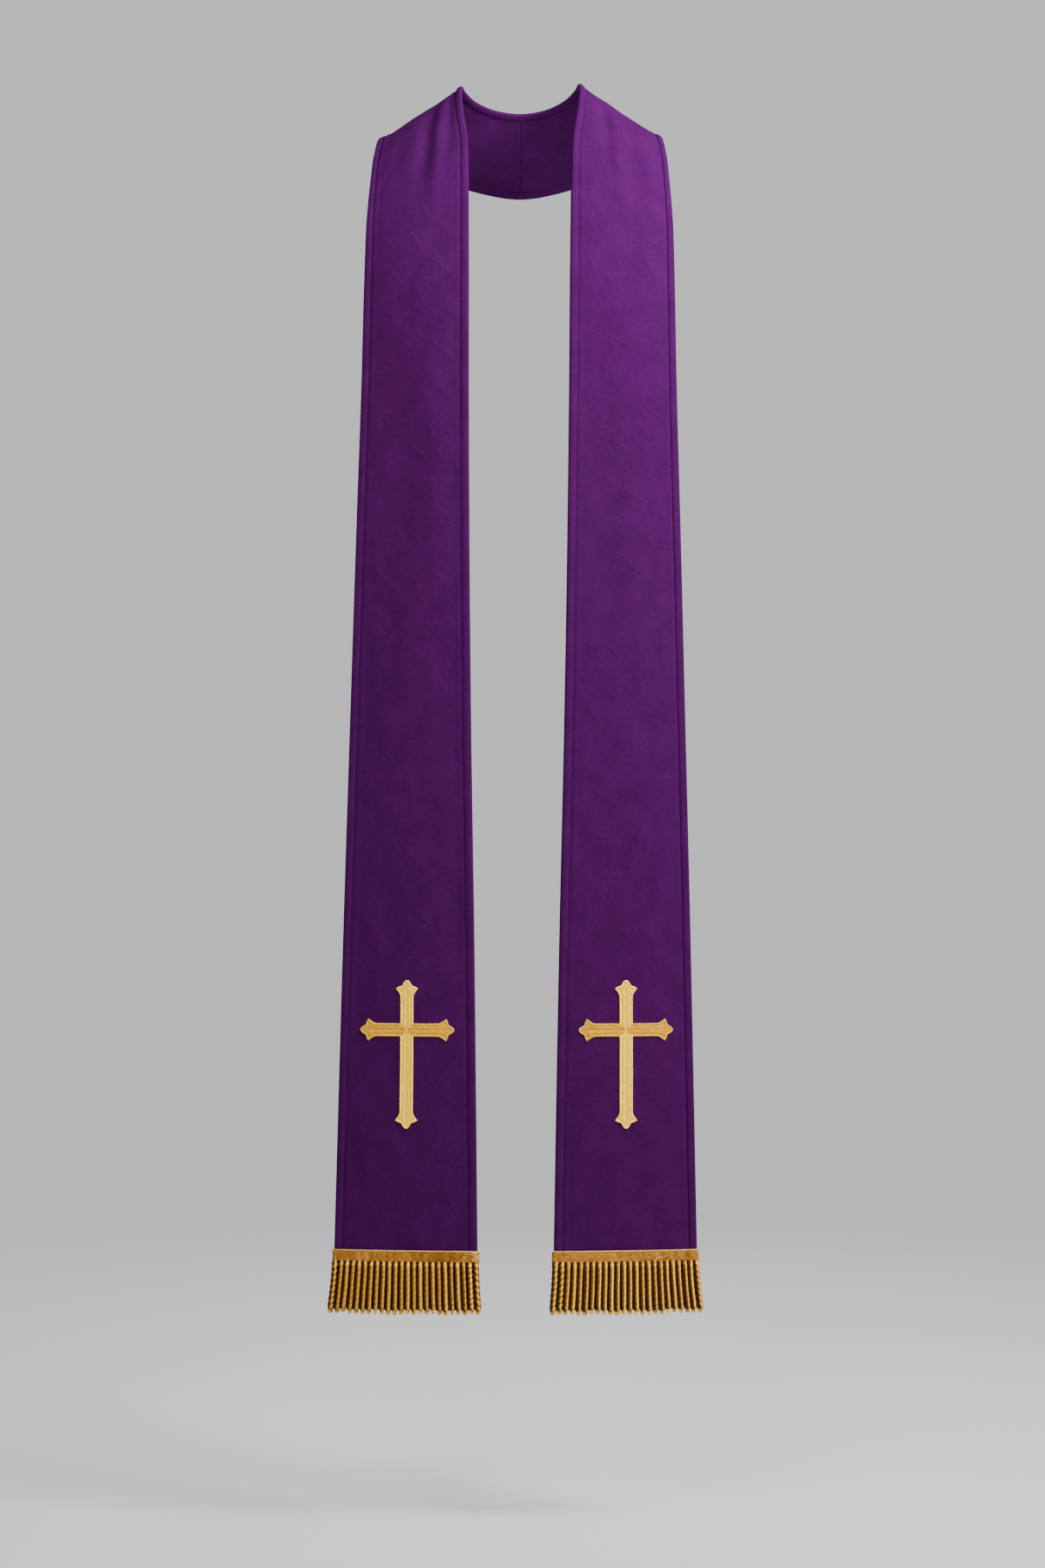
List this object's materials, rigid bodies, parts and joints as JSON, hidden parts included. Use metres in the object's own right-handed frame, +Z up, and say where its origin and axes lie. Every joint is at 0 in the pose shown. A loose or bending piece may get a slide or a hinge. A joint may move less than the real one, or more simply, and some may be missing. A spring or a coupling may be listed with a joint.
{
  "type": "clerical stole",
  "caption": "Long tapered stole worn over the shoulders, seamed at the centre back, with bound edges, an embroidered cross on each front and a twisted bullion fringe at each hem.",
  "frame": {"origin": "middle of the wearer's neck, level with the highest point of the cloth on the shoulders", "axes": "+Z up, along the hanging fronts; the wearer faces -Y, and the wearer's left is +X"},
  "size_m": [0.3994, 0.2629, 1.3388],
  "materials": {
    "purple_cloth": "plain-woven satin-faced cloth with fine crosswise slubs and a soft sheen",
    "purple_binding": "the same cloth, cut as a narrow folded binding",
    "gold_embroidery": "satin stitch in old-gold thread",
    "gold_bullion": "twisted old-gold bullion cord under a woven heading"
  },
  "bodies": {
    "root": {"panel_left": "purple_cloth", "panel_right": "purple_cloth", "binding_neck_edge": "purple_binding", "binding_outer_edge": "purple_binding", "cross_left": "gold_embroidery", "cross_right": "gold_embroidery", "fringe_left": "gold_bullion", "fringe_right": "gold_bullion"}
  },
  "joints": []
}
